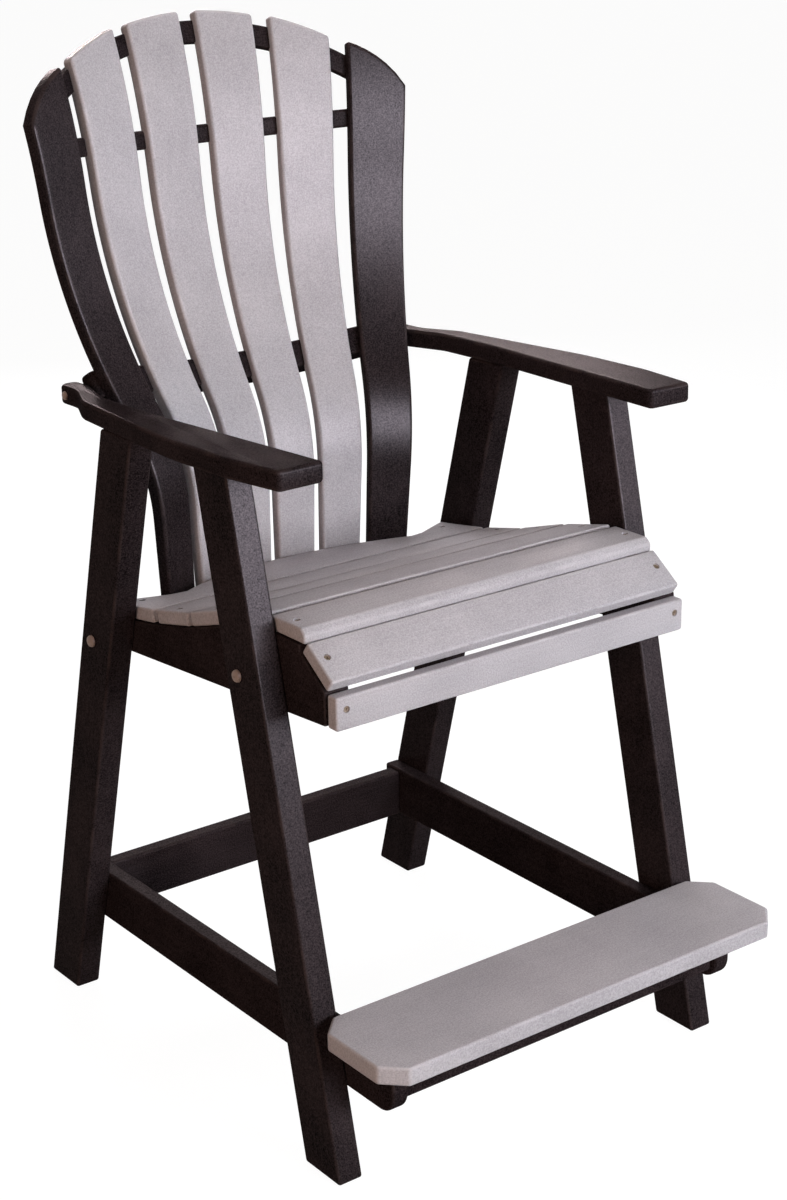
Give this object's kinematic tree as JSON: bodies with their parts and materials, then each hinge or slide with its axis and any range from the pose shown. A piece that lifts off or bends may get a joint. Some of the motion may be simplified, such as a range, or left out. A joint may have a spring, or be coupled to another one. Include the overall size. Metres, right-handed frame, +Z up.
{
  "type": "bar height adirondack chair",
  "caption": "Tall garden chair of thick plastic boards with splayed legs, flat arms, a scooped slat seat, a fan back of bent slats and a footrest; two-tone.",
  "frame": {"origin": "on the floor under the middle of the chair's overall width and depth", "axes": "+Z up, the chair faces -Y, +X to the right seen from the front"},
  "size_m": [0.7072, 0.934, 1.4152],
  "materials": {
    "dark_board": "fine matt grain, near black brown",
    "light_board": "fine matt grain, warm pale grey",
    "tan_cap": "smooth tan fastener cap",
    "steel": "bright stainless fastener"
  },
  "bodies": {
    "root": {"back_slat_1": "dark_board", "back_slat_6": "dark_board", "bottom_back_rail": "dark_board", "arm_level_back_rail": "dark_board", "upper_back_rail": "dark_board", "crown_back_rail": "dark_board", "rear_stretcher": "dark_board", "footrest_cross_rail": "dark_board", "left_front_leg": "dark_board", "left_rear_leg": "dark_board", "left_arm": "dark_board", "left_seat_rail": "dark_board", "left_stretcher": "dark_board", "right_front_leg": "dark_board", "right_rear_leg": "dark_board", "right_arm": "dark_board", "right_seat_rail": "dark_board", "right_stretcher": "dark_board", "seat_apron": "light_board", "seat_nose_slat": "light_board", "seat_slat_1": "light_board", "seat_slat_2": "light_board", "seat_slat_3": "light_board", "seat_slat_4": "light_board", "seat_slat_5": "light_board", "back_slat_2": "light_board", "back_slat_3": "light_board", "back_slat_4": "light_board", "back_slat_5": "light_board", "footrest": "light_board", "left_front_seat_bolt": "tan_cap", "left_rear_seat_bolt": "tan_cap", "left_arm_tail_screw": "tan_cap", "right_front_seat_bolt": "tan_cap", "right_rear_seat_bolt": "tan_cap", "right_arm_tail_screw": "tan_cap", "left_front_seat_nut": "steel", "left_rear_seat_nut": "steel", "left_front_stretcher_screw": "steel", "left_rear_stretcher_screw": "steel", "left_seat_apron_screw": "steel", "left_seat_nose_slat_screw": "steel", "left_seat_slat_1_screw": "steel", "left_seat_slat_2_screw": "steel", "left_seat_slat_3_screw": "steel", "left_seat_slat_4_screw": "steel", "left_seat_slat_5_screw": "steel", "right_front_seat_nut": "steel", "right_rear_seat_nut": "steel", "right_front_stretcher_screw": "steel", "right_rear_stretcher_screw": "steel", "right_seat_apron_screw": "steel", "right_seat_nose_slat_screw": "steel", "right_seat_slat_1_screw": "steel", "right_seat_slat_2_screw": "steel", "right_seat_slat_3_screw": "steel", "right_seat_slat_4_screw": "steel", "right_seat_slat_5_screw": "steel"}
  },
  "joints": []
}
